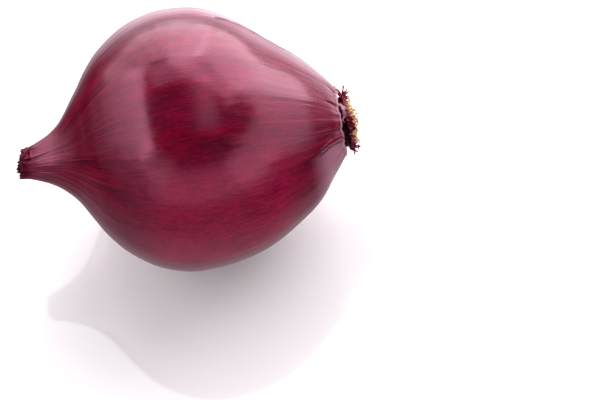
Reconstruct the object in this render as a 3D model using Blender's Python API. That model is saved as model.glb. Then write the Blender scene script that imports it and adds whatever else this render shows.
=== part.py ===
"""A whole red onion lying on its side, built in metres with +Z up.

Three pieces: the bulb in its dry skin, with its neck; the frill of torn dry scale ends round its root end; and
the basal plate with its dried roots. The onion lies along X with its neck towards -X, and the origin is the
middle of the small flat spot that it rests on.

Every shape is drawn in millimetres along the onion's own axis: x is 0 at the widest section and grows towards
the roots, and an angle of 0 points to +Y and of 90 degrees to +Z.
"""

import math
import random

import bmesh
import bpy
from mathutils import Matrix, Vector

MM = 0.001
SEED = 13
SHARP_OVER = math.radians(40)
MERGE_WITHIN = 1e-4

# Driving dimensions of the bulb, in millimetres. Outlines are (x, radius) pairs.
BELLY_RADIUS = 40.0
SKIN_OUTLINE = (
    (-48.4, 4.4),
    (-44.5, 5.8),
    (-39.5, 8.5),
    (-34.6, 13.1),
    (-30.9, 18.9),
    (-27.2, 24.8),
    (-22.2, 30.6),
    (-14.7, 36.1),
    (-7.3, 39.0),
    (0.0, BELLY_RADIUS),
    (10.0, 38.9),
    (20.0, 34.9),
    (29.2, 28.6),
    (37.5, 21.9),
    (43.8, 15.2),
    (46.9, 11.2),
)
# The dried leaf ends at the cut top, from the middle of the rolled inner scale out to the flared outer one.
NECK_TIP = (
    (-50.2, 0.0),
    (-50.5, 0.8),
    (-51.2, 1.5),
    (-51.1, 2.2),
    (-49.5, 2.6),
    (-49.3, 3.1),
    (-50.6, 3.6),
    (-50.4, 4.3),
    (-49.4, 4.2),
)
# The skin's torn rim, and the dark crevice behind it.
SKIN_RIM = (
    (47.7, 10.2),
    (47.8, 9.7),
    (45.4, 9.0),
    (45.6, 8.5),
)
# The stub that carries the frill and the roots.
ROOT_STUB = (
    (48.6, 8.7),
    (49.4, 8.1),
    (49.5, 0.0),
)
ROWS_PER_SPAN = 2
COLUMNS = 84

# How the real bulb departs from a turned shape.
REST_TILT = math.radians(3.5)  # the neck end is raised
REST_FLAT_RADIUS = 8.0
ROOT_OFFSET = Vector((0.0, -1.2, -0.7))  # the root end sits a little off the axis
ROOT_LEAN = Vector((0.0, 0.058, 0.033))  # and its face leans this way
BEND_START, BEND_END = 5.0, 40.0

# Relief of the skin. Waves round the axis are (height, count, phase) triples.
RIBS = 21
RIB_PHASES = ((0.75, 0, 0.0), (0.25, 4, 0.6))
RIB_HEIGHT_BELLY, RIB_HEIGHT_ENDS = 0.05, 0.22
RIBS_FADE_WITHIN = 4.0  # the ribs die out this near to the axis
NECK_FOLD_REACH = 14.0  # how far down the neck its folds fade
NECK_FOLDS = ((0.060, 5, 1.1), (0.036, 8, 0.4), (0.024, 11, 0.0))  # as shares of the radius
NECK_TEARS = ((0.225, 4, 0.9), (0.225, 10, 0.9), (0.225, 16, 0.0))
RIM_TEARS = ((0.35, 5, 2.0), (0.21, 12, 0.5))
LAYER_STEP = 0.5  # the outermost skin stands this proud of the one below
LAYER_FROM, LAYER_TO = math.radians(45), math.radians(145)
LAYER_EDGE_DRIFT = math.radians(13)  # the tear widens this much towards the root end
LAYER_FADE_START, LAYER_FADE_END = 14.0, 36.0

# Frill of torn scale ends.
FRILL_INNER, FRILL_OUTER = 7.7, 9.3
FRILL_BACK, FRILL_FRONT = 49.9, 50.9
FRILL_ROUNDING = 0.4
FRILL_TEARS = ((0.45, 5, 0.4), (0.32, 11, 2.0))
FRILL_WAVES = ((0.35, 4, 1.3), (0.25, 9, 0.0), (0.14, 17, 0.0))
FRILL_SIDES = 48
FLAKES = 30
STANDING_OUT_EVERY = 3  # one flake in so many leans right out, and the others point along the axis
FLAKE_LEAN_OUT, FLAKE_LEAN_ALONG = (50, 95), (0, 35)  # in degrees
FLAKE_LENGTH_OUT, FLAKE_LENGTH_ALONG = (1.3, 2.3), (1.6, 3.0)
FLAKE_WIDTH, FLAKE_TIP_WIDTH = (1.0, 2.6), 0.35
FLAKE_CURL, FLAKE_SLANT = (-0.5, 0.6), (-0.5, 0.5)
FLAKE_THICKNESS = 0.65
FLAKE_SINK = 0.75
FLAKE_STEPS = 3

# Basal plate and roots.
PLATE_RADIUS, PLATE_BACK, PLATE_RIM, PLATE_CROWN = 7.0, 49.9, 50.5, 51.1
PLATE_SIDES = 28
ROOTS = 52
ROOT_SPREAD = 6.2  # the outermost roots leave the plate this far from the axis
ROOT_REACH = 6.7  # no root goes further out, which keeps it clear of the frill
ROOT_THICKNESS = 0.75
ROOT_TAPER = (1.1, 0.75)  # shares of the thickness at the foot and at the tip
ROOT_SINK = 0.7
ROOT_SIDES, ROOT_STEPS = 4, 5
ROOT_STEP_LENGTH = (0.9, 1.35)
ROOT_RISE, ROOT_DROOP = (60, 85), (18, 30)  # in degrees: at the foot, and lost at each step
ROOT_TURN = (0.1, 0.6)

SKIN_COLOUR = (0.11, 0.006, 0.022, 1.0)
FRILL_COLOUR = (0.16, 0.008, 0.030, 1.0)
ROOT_COLOUR = (0.62, 0.36, 0.13, 1.0)
SKIN_ROUGHNESS, FRILL_ROUGHNESS, ROOT_ROUGHNESS = 0.3, 0.6, 0.7


def clear_scene():
    for old in list(bpy.data.objects):
        bpy.data.objects.remove(old)


def smoothstep(low, high, value):
    t = min(1.0, max(0.0, (value - low) / (high - low)))
    return t * t * (3 - 2 * t)


def waves(terms, angle):
    return sum(height * math.cos(count * angle + phase) for height, count, phase in terms)


def at(x, radius, angle):
    return Vector((x, radius * math.cos(angle), radius * math.sin(angle)))


def smooth_line(points, per_span):
    """Points along a Catmull-Rom curve through the given ones, per_span to each stretch between two of them."""
    ends = [points[0], *points, points[-1]]
    line = []
    for before, start, end, after in zip(ends, ends[1:], ends[2:], ends[3:]):
        for step in range(per_span):
            t = step / per_span
            weights = (
                (-t + 2 * t**2 - t**3) / 2,
                (2 - 5 * t**2 + 3 * t**3) / 2,
                (t + 4 * t**2 - 3 * t**3) / 2,
                (t**3 - t**2) / 2,
            )
            around = (before, start, end, after)
            line.append(tuple(sum(w * p[i] for w, p in zip(weights, around)) for i in (0, 1)))
    return [*line, points[-1]]


def bend(point):
    """The place of a point of the straight onion in the real one, whose root end is set off and leans."""
    share = smoothstep(BEND_START, BEND_END, point.x)
    lean = Vector((-ROOT_LEAN.dot(point), 0.0, 0.0))
    return point + share * (ROOT_OFFSET + lean)


def ribs(x, angle):
    """Low ribs from neck to root, strongest at the two ends."""
    towards_end = min(1.0, abs(x) / -NECK_TIP[0][0]) ** 2
    height = RIB_HEIGHT_BELLY + (RIB_HEIGHT_ENDS - RIB_HEIGHT_BELLY) * towards_end
    return height * waves(RIB_PHASES, angle) * math.cos(RIBS * angle)


def neck_folds(x, angle):
    """Share by which the drying neck is folded in and out."""
    fade = math.exp(-max(0.0, x - NECK_TIP[-1][0]) / NECK_FOLD_REACH)
    return fade * waves(NECK_FOLDS, angle)


def outer_layer(x, angle):
    """How proud the outermost skin stands. It is torn along two edges that run from the root end."""
    drift = LAYER_EDGE_DRIFT * smoothstep(LAYER_FADE_END, SKIN_RIM[0][0], x)
    soft = math.pi / COLUMNS
    start, end = LAYER_FROM - drift, LAYER_TO + drift
    inside = smoothstep(start - soft, start + soft, angle) * (1 - smoothstep(end - soft, end + soft, angle))
    return LAYER_STEP * inside * smoothstep(LAYER_FADE_START, LAYER_FADE_END, x)


def torn(x, radius, angle):
    """How far an edge is torn back along x: ragged at the neck tip, the skin's rim and the stub's shoulder."""
    if radius < NECK_TIP[1][1] / 2 or x >= ROOT_STUB[1][0]:
        return 0.0
    at_neck = smoothstep(SKIN_OUTLINE[0][0] - 0.5, NECK_TIP[-1][0] - 0.4, x)
    at_rim = smoothstep(SKIN_OUTLINE[-1][0], SKIN_RIM[0][0], x)
    return at_neck * waves(NECK_TEARS, angle) + at_rim * waves(RIM_TEARS, angle)


def shape_skin(point):
    """Moves a point of the turned shape to the real skin."""
    x, radius, angle = point.x, math.hypot(point.y, point.z), math.atan2(point.z, point.y)
    along = torn(x, radius, angle)
    inside_rim = x > 0 and radius < (SKIN_RIM[0][1] + SKIN_RIM[1][1]) / 2
    if not inside_rim:
        radius += ribs(x, angle) * smoothstep(0.0, RIBS_FADE_WITHIN, radius) + outer_layer(x, angle)
    if x < 0:
        radius *= 1 + neck_folds(x, angle)
    return bend(at(x + along, radius, angle))


def shape_ring(point):
    """Moves a point of the frill's turned ring so that its front rim is torn and its outline uneven."""
    angle = math.atan2(point.z, point.y)
    front = smoothstep(FRILL_BACK, FRILL_FRONT, point.x)
    outer = smoothstep(FRILL_INNER, FRILL_OUTER, math.hypot(point.y, point.z))
    return bend(point + front * at(waves(FRILL_TEARS, angle), outer * waves(FRILL_WAVES, angle), angle))


def add_object(name, mesh, colour, roughness):
    material = bpy.data.materials.new(name)
    material.use_nodes = True
    shader = material.node_tree.nodes["Principled BSDF"]
    shader.inputs["Base Color"].default_value = colour
    shader.inputs["Roughness"].default_value = roughness
    shader.inputs["Metallic"].default_value = 0.0
    mesh.materials.clear()
    mesh.materials.append(material)
    made = bpy.data.objects.new(name, mesh)
    bpy.context.scene.collection.objects.link(made)
    return made


def turned(outline, steps, shape):
    """A bmesh of the outline spun once round the x axis, with the shape function applied to its points."""
    mesh = bmesh.new()
    line = [mesh.verts.new(at(x, radius, 0.0)) for x, radius in outline]
    edges = [mesh.edges.new(pair) for pair in zip(line, line[1:])]
    bmesh.ops.spin(
        mesh,
        geom=[*line, *edges],
        cent=(0, 0, 0),
        axis=(1, 0, 0),
        dvec=(0, 0, 0),
        angle=2 * math.pi,
        steps=steps,
        use_merge=True,
    )
    bmesh.ops.remove_doubles(mesh, verts=mesh.verts[:], dist=MERGE_WITHIN)
    bmesh.ops.recalc_face_normals(mesh, faces=mesh.faces[:])
    for vertex in mesh.verts:
        vertex.co = shape(vertex.co)
    return mesh


def finish_mesh(name, mesh):
    """A mesh in metres from a bmesh in millimetres."""
    bmesh.ops.scale(mesh, vec=(MM, MM, MM), verts=mesh.verts[:])
    made = bpy.data.meshes.new(name)
    mesh.to_mesh(made)
    mesh.free()
    made.shade_smooth()
    made.set_sharp_from_angle(angle=SHARP_OVER)
    return made


def cut_rest_flat(mesh, tilt):
    """Cuts the small flat that the bulb rests on, and returns its middle."""
    down = tilt.inverted() @ Vector((0, 0, -1))
    depth = REST_FLAT_RADIUS**2 / (2 * BELLY_RADIUS)
    level = max(vertex.co.dot(down) for vertex in mesh.verts) - depth
    bmesh.ops.bisect_plane(
        mesh,
        geom=[*mesh.verts, *mesh.edges, *mesh.faces],
        plane_co=down * level,
        plane_no=down,
        clear_outer=True,
    )
    rim = [edge for edge in mesh.edges if edge.is_boundary]
    flat = bmesh.ops.contextual_create(mesh, geom=rim)["faces"][0]
    bmesh.ops.recalc_face_normals(mesh, faces=mesh.faces[:])
    return flat.calc_center_median()


def make_bulb(tilt):
    """The bulb with its skin and neck, and the middle of its rest flat in millimetres."""
    outline = [*NECK_TIP, *smooth_line(SKIN_OUTLINE, ROWS_PER_SPAN), *SKIN_RIM, *ROOT_STUB]
    mesh = turned(outline, COLUMNS, shape_skin)
    rest = cut_rest_flat(mesh, tilt)
    return add_object("bulb", finish_mesh("bulb", mesh), SKIN_COLOUR, SKIN_ROUGHNESS), rest


def loft(rings):
    """A closed solid through rings of equally many points, as an object of its own."""
    mesh = bmesh.new()
    loops = [[mesh.verts.new(bend(point)) for point in ring] for ring in rings]
    for lower, upper in zip(loops, loops[1:]):
        for i, corner in enumerate(lower):
            j = (i + 1) % len(lower)
            mesh.faces.new((corner, lower[j], upper[j], upper[i]))
    mesh.faces.new(loops[0][::-1])
    mesh.faces.new(loops[-1])
    bmesh.ops.recalc_face_normals(mesh, faces=mesh.faces[:])
    return bpy.data.objects.new("piece", finish_mesh("piece", mesh))


def shells(mesh):
    """The sets of faces of a bmesh that hang together."""
    left = set(mesh.faces)
    while left:
        shell, to_visit = set(), [left.pop()]
        while to_visit:
            face = to_visit.pop()
            shell.add(face)
            beside = {other for edge in face.edges for other in edge.link_faces} & left
            left -= beside
            to_visit += beside
        yield shell


def keep_outer_shell(data):
    """Fills any hollow that the union sealed and drops any loose scrap: both are small shells of their own."""
    mesh = bmesh.new()
    mesh.from_mesh(data)
    outer = max(shells(mesh), key=len)
    bmesh.ops.delete(mesh, geom=[face for face in mesh.faces if face not in outer], context="FACES")
    mesh.to_mesh(data)
    mesh.free()


def join_pieces(body, pieces):
    """Unites the pieces with the body in one Boolean, applies it and removes them.

    The solver is MANIFOLD, because EXACT leaves edges that more than two faces share where roots cross.
    """
    group = bpy.data.collections.new("pieces")
    bpy.context.scene.collection.children.link(group)
    for piece in pieces:
        group.objects.link(piece)
    union = body.modifiers.new("join", "BOOLEAN")
    union.operation = "UNION"
    union.solver = "MANIFOLD"
    union.operand_type = "COLLECTION"
    union.collection = group
    joined = bpy.data.meshes.new_from_object(body.evaluated_get(bpy.context.evaluated_depsgraph_get()))
    body.modifiers.clear()
    keep_outer_shell(joined)
    body.data = joined
    for piece in pieces:
        bpy.data.objects.remove(piece)
    bpy.data.collections.remove(group)


def flake(draw, angle, lean, length):
    """One torn scale end: a thin blade that stands on the frill's ring and tapers to a ragged point."""
    foot = at((FRILL_BACK + FRILL_FRONT) / 2, FRILL_OUTER - FLAKE_SINK, angle)
    outward, across = at(0.0, 1.0, angle), at(0.0, 1.0, angle + math.pi / 2)
    width, curl, slant = draw.uniform(*FLAKE_WIDTH), draw.uniform(*FLAKE_CURL), draw.uniform(*FLAKE_SLANT)
    rings = []
    for step in range(FLAKE_STEPS + 1):
        t = step / FLAKE_STEPS
        turn = lean + curl * t
        along = Vector((math.cos(turn), 0, 0)) + outward * math.sin(turn)
        thick = (outward * math.cos(turn) - Vector((math.sin(turn), 0, 0))) * FLAKE_THICKNESS / 2
        half = across * (width * (1 - t) ** 0.7 + FLAKE_TIP_WIDTH) / 2
        middle = foot + along * length * t + across * slant * length * t**2
        rings.append([middle - half - thick, middle + half - thick, middle + half + thick, middle - half + thick])
    return loft(rings)


def make_frill():
    """The ring of dry skin round the root end, with the torn scale ends that stand on it."""
    draw = random.Random(SEED)
    outline = (
        (FRILL_BACK, FRILL_INNER),
        (FRILL_BACK, FRILL_OUTER - FRILL_ROUNDING),
        ((FRILL_BACK + FRILL_FRONT) / 2, FRILL_OUTER),
        (FRILL_FRONT, FRILL_OUTER - FRILL_ROUNDING),
        (FRILL_FRONT, FRILL_INNER),
        (FRILL_BACK, FRILL_INNER),
    )
    ring = finish_mesh("scale_frill", turned(outline, FRILL_SIDES, shape_ring))
    frill = add_object("scale_frill", ring, FRILL_COLOUR, FRILL_ROUGHNESS)
    flakes = []
    for i in range(FLAKES):
        angle = 2 * math.pi * (i + draw.uniform(-0.3, 0.3)) / FLAKES
        stands_out = i % STANDING_OUT_EVERY == 0
        lean = math.radians(draw.uniform(*(FLAKE_LEAN_OUT if stands_out else FLAKE_LEAN_ALONG)))
        length = draw.uniform(*(FLAKE_LENGTH_OUT if stands_out else FLAKE_LENGTH_ALONG))
        flakes.append(flake(draw, angle, lean, length))
    join_pieces(frill, flakes)
    return frill


def over_plate(point):
    """The point, drawn in towards the axis so that it never goes past ROOT_REACH."""
    share = (1 + (math.hypot(point.y, point.z) / ROOT_REACH) ** 6) ** (-1 / 6)
    return Vector((point.x, point.y * share, point.z * share))


def root_path(draw, start):
    """A root's middle line: out of the plate, then over to one side in a curl."""
    heading, turn = draw.uniform(0, 2 * math.pi), draw.choice((-1, 1)) * draw.uniform(*ROOT_TURN)
    rise, droop = math.radians(draw.uniform(*ROOT_RISE)), math.radians(draw.uniform(*ROOT_DROOP))
    step = draw.uniform(*ROOT_STEP_LENGTH)
    point, path = start, [start]
    for _ in range(ROOT_STEPS):
        point = point + step * at(math.sin(rise), math.cos(rise), heading)
        path.append(over_plate(point))
        heading += turn
        rise -= droop
    return path


def root(path):
    """A dried root: a thin tube along its path, tapering to its tip."""
    foot, tip = ROOT_TAPER
    rings = []
    for i, point in enumerate(path):
        along = (path[min(i + 1, ROOT_STEPS)] - path[max(i - 1, 0)]).normalized()
        side = along.cross(Vector((0.31, 0.87, -0.38))).normalized()
        other = along.cross(side)
        radius = ROOT_THICKNESS / 2 * (foot + (tip - foot) * i / ROOT_STEPS)
        spokes = (2 * math.pi * k / ROOT_SIDES for k in range(ROOT_SIDES))
        rings.append([point + radius * (side * math.cos(a) + other * math.sin(a)) for a in spokes])
    return loft(rings)


def make_roots():
    """The low domed basal plate with its dried roots, spread over it in a sunflower's spiral."""
    draw = random.Random(SEED + 1)
    outline = (
        (PLATE_BACK, 0.0),
        (PLATE_BACK, PLATE_RADIUS),
        (PLATE_RIM, PLATE_RADIUS),
        (PLATE_CROWN - 0.15, PLATE_RADIUS * 0.55),
        (PLATE_CROWN, 0.0),
    )
    disc = finish_mesh("roots", turned(outline, PLATE_SIDES, bend))
    plate = add_object("roots", disc, ROOT_COLOUR, ROOT_ROUGHNESS)
    golden_angle = math.pi * (3 - math.sqrt(5))
    tubes = []
    for i in range(ROOTS):
        out = ROOT_SPREAD * math.sqrt((i + 0.5) / ROOTS)
        level = PLATE_CROWN - (PLATE_CROWN - PLATE_RIM) * (out / PLATE_RADIUS) ** 2
        tubes.append(root(root_path(draw, at(level - ROOT_SINK, out, i * golden_angle))))
    join_pieces(plate, tubes)
    return plate


def main():
    clear_scene()
    tilt = Matrix.Rotation(REST_TILT, 4, "Y")
    bulb, rest = make_bulb(tilt)
    onion = bpy.data.objects.new("onion", None)
    bpy.context.scene.collection.objects.link(onion)
    onion.rotation_euler = (0, REST_TILT, 0)
    onion.location = -(tilt @ (rest * MM))
    for piece in (bulb, make_frill(), make_roots()):
        piece.parent = onion


main()
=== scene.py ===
"""The looks of a whole red onion lying on its side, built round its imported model.

Shapes are drawn in millimetres along the onion's own axis, as in the part's source. x is 0 at the widest
section and grows towards the roots. An angle of 0 points to +Y, and one of 90 degrees to +Z.
"""

import random
from math import cos, hypot, pi, radians, sin, sqrt, tan

import bmesh
import bpy
import numpy as np
from mathutils import Matrix, Vector


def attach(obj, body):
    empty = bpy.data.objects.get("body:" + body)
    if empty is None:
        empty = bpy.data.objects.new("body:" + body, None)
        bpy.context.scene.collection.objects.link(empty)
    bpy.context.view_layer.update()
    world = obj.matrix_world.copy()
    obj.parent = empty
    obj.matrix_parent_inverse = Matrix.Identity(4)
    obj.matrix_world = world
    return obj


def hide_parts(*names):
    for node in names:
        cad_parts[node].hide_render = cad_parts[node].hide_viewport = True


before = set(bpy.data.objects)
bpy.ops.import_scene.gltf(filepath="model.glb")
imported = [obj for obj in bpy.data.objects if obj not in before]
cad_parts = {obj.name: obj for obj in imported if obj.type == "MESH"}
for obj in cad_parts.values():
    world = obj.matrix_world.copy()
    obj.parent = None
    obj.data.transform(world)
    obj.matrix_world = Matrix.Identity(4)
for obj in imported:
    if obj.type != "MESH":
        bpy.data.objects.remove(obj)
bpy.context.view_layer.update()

MM = 0.001
SEED = 29

# The bulb's form, as in the part's source. Outlines are (x, radius) pairs.
BELLY_RADIUS = 40.0
SKIN_OUTLINE = (
    (-48.4, 4.4), (-44.5, 5.8), (-39.5, 8.5), (-34.6, 13.1),
    (-30.9, 18.9), (-27.2, 24.8), (-22.2, 30.6), (-14.7, 36.1),
    (-7.3, 39.0), (0.0, BELLY_RADIUS), (10.0, 38.9), (20.0, 34.9),
    (29.2, 28.6), (37.5, 21.9), (43.8, 14.9), (46.9, 10.6),
)
NECK_END = (
    (-45.5, 0.0), (-45.6, 1.4), (-46.4, 2.4), (-49.0, 3.1),
    (-50.3, 3.7), (-50.2, 4.2), (-49.4, 4.25),
)
SKIN_RIM = ((47.7, 9.75), (47.75, 9.5), (46.6, 9.2), (45.0, 8.8), (44.6, 8.0))
ROOT_STUB = ((47.9, 7.5), (48.8, 7.0), (48.9, 0.0))
ROWS_PER_SPAN = 10
END_ROWS_PER_SPAN = 3
COLUMNS = 480

# How the onion lies, and how its root end is set off and leans.
REST_TILT = radians(3.5)
AXIS_MIDDLE = Vector((-0.4923, 0.0513, 39.1832)) * MM  # the middle of the widest section, in the row's frame
ROOT_OFFSET = np.array((0.0, -1.2, -0.7))
ROOT_LEAN = np.array((0.0, 0.058, 0.033))
END_DROP = np.array((0.0, -0.5, -0.33))
END_DROP_REACH = (39.0, 47.0)
RIM_UPRIGHT = (38.0, 46.5)  # the lean of the skin's own rim fades away between these
BEND_REACH = (5.0, 40.0)

# Relief of the skin. Waves round the axis are (height, count, phase) triples. Random ones are given as their
# counts and their height in all.
RIBS = 21
RIB_PHASES = ((0.75, 0, 0.0), (0.25, 4, 0.6))
VEIN_WAVES = ((43, 58, 71, 89, 104), 1.0)
RIB_HEIGHTS, VEIN_HEIGHTS = (0.03, 0.05), (0.006, 0.02)  # at the belly and at both ends
VEIN_SWAY, VEIN_SWAY_LENGTH = 0.02, 9.0
END_DISTANCE = 50.0  # how far from the belly ribs and veins reach their full height
RELIEF_FADE_RADIUS = 4.0
SHOULDER_X, SHOULDER_ANGLE = -33.6, radians(33)
SHOULDER_HEIGHT, SHOULDER_REACH = 0.85, 2.7
NECK_X = -49.4
NECK_FOLD_REACH = 10.0
NECK_FOLDS = ((0.045, 5, 1.1), (0.024, 8, 0.4), (0.018, 11, 0.0))
NECK_WRINKLES = ((17, 23, 31, 37, 44), 0.022)
NECK_WRINKLE_REACH = 6.0
NECK_WRINKLE_SWAY, NECK_WRINKLE_SWAY_LENGTH = 0.03, 2.3
NECK_FOLD_FADE_RADIUS = 3.0
NECK_SHORT_SIDE = radians(33)
NECK_SHORTER_BY = 1.5
NECK_TEARS = ((0.35, 4, 0.9), (0.30, 10, 0.9), (0.25, 17, 0.0), (0.16, 29, 1.0))
RIM_TEARS = ((0.18, 5, 2.0), (0.14, 12, 0.5), (0.10, 23, 0.0), (0.06, 41, 2.0))
RIM_CUT_BACK, RIM_CUT_AT, RIM_CUT_WIDTH = 1.2, radians(116), radians(48)
RIM_SLOPE = 1.3
RIM_TEAR_REACH = (41.0, 47.7)
RIM_OUTSIDE = (9.2, 9.6)  # the radii between which the rim's relief grows
PALE_RIM = (47.35, 47.72)
DARK_TIP_LENGTH = 3.2

# The outermost skin is torn along two edges that run from the root end, given as (x, degrees) pairs.
LAYER_STEP = 0.42
FIRST_TEAR = ((8, 55), (16, 54), (24, 53), (30, 50.5), (34, 49), (37.5, 45), (41, 34), (47.5, 22))
SECOND_TEAR = ((20, 141), (36, 147), (39, 146.5), (41, 144.5), (44, 144.5), (47.5, 147))
TEAR_RATES, TEAR_RAGGED, TEAR_SOFT = (0.5, 1.1, 2.3, 4.1), 0.006, 0.006
FIRST_OPENS, SECOND_OPENS = (6.0, 22.0), (33.0, 41.0)
LAYER_CLOSES = (radians(200), radians(262))
TEAR_SHADE_WIDTH = 0.55
UNDER_BEGINS, UNDER_ENDS = (-1.2, -0.4), (3.4, 4.2)  # the angles at which the bare layer's paler colour and painted reflection fade

# A slit in the skin close to the rim.
SLIT_ANGLE = radians(98.4)
SLIT_FROM, SLIT_TO = 42.4, 46.4
SLIT_DEPTH = 0.35
SLIT_HALF_WIDTH = 0.22
SLIT_OPENING, SLIT_CLOSING = 1.5, 0.8
SLIT_SWAY, SLIT_SWAY_RATE = 0.12, 1.7

# Painted shade of a small hollow in the neck: its x and angle, and half its length and width.
HOLLOW_X, HOLLOW_ANGLE = -46.4, radians(66)
HOLLOW_HALF_LENGTH, HOLLOW_HALF_WIDTH = 0.75, 0.55

# The free edges of the outermost skin along its tears.
LIP_FROM, LIP_TO = (14.0, 38.0), 47.2
LIP_ROWS, LIP_COLUMNS = 140, 9
LIP_ROOT, LIP_OVERHANG, LIP_LIFT, LIP_THICKNESS = 1.3, 0.45, 0.22, 0.10
LIP_RATES, LIP_RAGGED = (1.3, 2.9, 5.3, 9.1), (0.45, 0.25)
LIP_OPENS_OVER = 6
LIP_SINK, LIP_CLEARANCE = 0.06, 0.03
# The strength of the painted highlight on the second tear's lip edge.
LIP_HIGHLIGHT = 0.4

# The rolled leaf ends in the neck: radius, where they end, and the degrees that they start at and sweep.
NECK_SCALES = (
    (3.35, -50.3, 20, 335),
    (2.7, -50.8, 140, 300),
    (2.05, -51.1, 250, 320),
    (1.35, -50.6, 60, 330),
    (0.75, -50.2, 200, 340),
)
LEAF_FOOT = -45.8
LEAF_THICKNESS = 0.16
LEAF_ROWS = 14
LEAF_TEARS = ((3, 7, 13, 22), 0.45)
LEAF_FOLDS = ((2, 5, 9), 0.16)
LEAF_SPIRAL = 0.35
LEAF_FLARE, LEAF_FLARES_AT = 0.25, radians(40)

# The dried scrap of leaf on the neck's end.
FLAP_ANGLES = (radians(12), radians(122))
FLAP_FOOT, FLAP_TIP = -47.2, -50.5
FLAP_ROWS, FLAP_COLUMNS = 22, 70
FLAP_FOOT_ROUNDING, FLAP_TIP_ROUNDING = 1.6, 1.0
FLAP_FOOT_TEARS = ((9, 17, 29, 41), 0.35)
FLAP_TIP_TEARS = ((8, 15, 27, 43), 0.5)
FLAP_CRUMPLES = ((7, 13, 21, 34), 0.10)
FLAP_LIFT, FLAP_TIP_LIFT = 0.06, 0.10

# Frill of torn scale ends, with the smooth collar behind it.
COLLAR_BACK, COLLAR_SHORT, COLLAR_LONG = 44.8, 49.0, 49.8
COLLAR_RADIUS, COLLAR_THICKNESS = 7.4, 0.22
COLLAR_LONGEST_AT, COLLAR_LONG_WIDTH = radians(94), 0.30
COLLAR_ROWS, COLLAR_COLUMNS = 14, 240
COLLAR_TEARS = ((5, 11, 19, 31), 0.28)
COLLAR_FOLDS = ((3, 7, 16), 0.10)
COLLAR_FLARE, COLLAR_DRAWN_IN = 0.9, 0.35
COLLAR_PALE_FROM = (0.64, 0.78)
FRILL_INNER, FRILL_OUTER = 7.0, 8.1
FRILL_BACK, FRILL_FRONT = 48.8, 49.3
FRILL_COLUMNS = 260
FRILL_TEARS = ((5, 11, 23, 37, 53), 0.5)
FRILL_FOLDS = ((4, 9, 17, 29, 43), 0.32)
FRILL_MARK = 0.3
FRILL_SECTION = (
    (FRILL_BACK, FRILL_INNER), (FRILL_BACK, FRILL_OUTER - 0.4), ((FRILL_BACK + FRILL_FRONT) / 2, FRILL_OUTER),
    (FRILL_FRONT, FRILL_OUTER - 0.4), (FRILL_FRONT, FRILL_INNER), (FRILL_BACK, FRILL_INNER),
)
# Groups of torn scale ends: the angles that they stand between, how many, and the ranges of how far they lean
# outwards, of their lengths and of their widths. Angles are in degrees.
FLAKE_GROUPS = (
    (26, 72, 22, (20, 105), (1.6, 3.4), (0.5, 1.3)),
    (72, 112, 10, (-25, 25), (0.4, 0.9), (0.6, 1.6)),
    (112, 142, 6, (-15, 20), (1.5, 2.3), (1.8, 3.4)),
    (142, 176, 9, (-10, 40), (0.5, 1.2), (0.7, 1.6)),
    (176, 216, 17, (0, 70), (1.2, 2.5), (1.3, 2.8)),
    (216, 386, 46, (-10, 80), (1.0, 2.6), (0.7, 2.2)),
)
FLAKE_THICKNESS = 0.13
FLAKE_FOOT_X, FLAKE_FOOT_RADIUS = 49.0, 7.8
FLAKE_FOOT_SHIFT = (-0.4, 0.1)
FLAKE_ROWS, FLAKE_COLUMNS = 9, 5
FLAKE_CURL, FLAKE_SLANT, FLAKE_CUP = (-0.9, 1.1), (-0.5, 0.5), (-0.35, 0.35)
FLAKE_TAPER, FLAKE_TIP_WIDTH = (0.55, 1.1), 0.08
FLAKE_NOTCH, FLAKE_NOTCH_RATE = 0.22, (6, 13)
FLAKE_TOOTH, FLAKE_TOOTH_RATE = 0.25, (5, 9)
FLAKE_RIPPLE = 0.1

# Basal plate and roots.
PLATE_RADIUS, PLATE_BACK, PLATE_RIM, PLATE_CROWN = 6.9, 48.6, 49.2, 50.6
PLATE_SECTION = (
    (PLATE_BACK, 0.0), (PLATE_BACK, 3.5), (PLATE_BACK, PLATE_RADIUS),
    (PLATE_RIM, PLATE_RADIUS), (PLATE_CROWN - 0.15, PLATE_RADIUS * 0.55), (PLATE_CROWN, 0.0),
)
PLATE_COLUMNS = 96
PLATE_LUMP = 0.12
ROOTS = 240
ROOT_SPREAD, ROOT_REACH = 6.9, 7.5
ROOT_THICKNESS = (0.28, 0.5)
ROOT_SINK = 0.5
ROOT_SIDES, ROOT_STEPS, ROOT_SMOOTHING = 6, 7, 3
ROOT_STEP_LENGTH = (0.55, 0.95)
ROOT_RISE, ROOT_DROOP = (48, 86), (14, 30)
ROOT_TURN, ROOT_WOBBLE = (0.1, 0.7), (-0.25, 0.25)
ROOT_TAPER = (1.15, 0.45)

# Streaks in the materials: how many grains there are along the onion and around it, their detail and shift.
# Those of the skin are counted to a belly radius, and the others to a metre.
BROAD_STREAKS = (1.6, 5.0, 3.0)
MIDDLE_STREAKS = (3.2, 17.0, 4.0, 7.0)
FINE_STREAKS = (8.0, 75.0, 5.0, 3.0)
GRAIN_STREAKS = (26.0, 62.0, 4.0, 5.0)
BLOTCH_STREAKS = (5.0, 9.0, 5.0, 31.0)
FLECK_STREAKS = (9.0, 30.0, 5.0, 17.0)
LINE_STREAKS = (1.2, 42.0, 3.0, 23.0)
TIP_STREAKS = (22.0, 3.0, 3.0, 11.0)
LEAF_STREAKS = (300.0, 1800.0)
COLLAR_STREAKS = (120.0, 900.0)
FLAKE_PATCHES, FLAKE_STREAKS = (260.0, 260.0, 3.0), (900.0, 1400.0, 4.0)
ROOT_PATCHES, ROOT_STREAKS = (420.0, 420.0, 3.0), (2200.0, 2200.0, 3.0)

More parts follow.
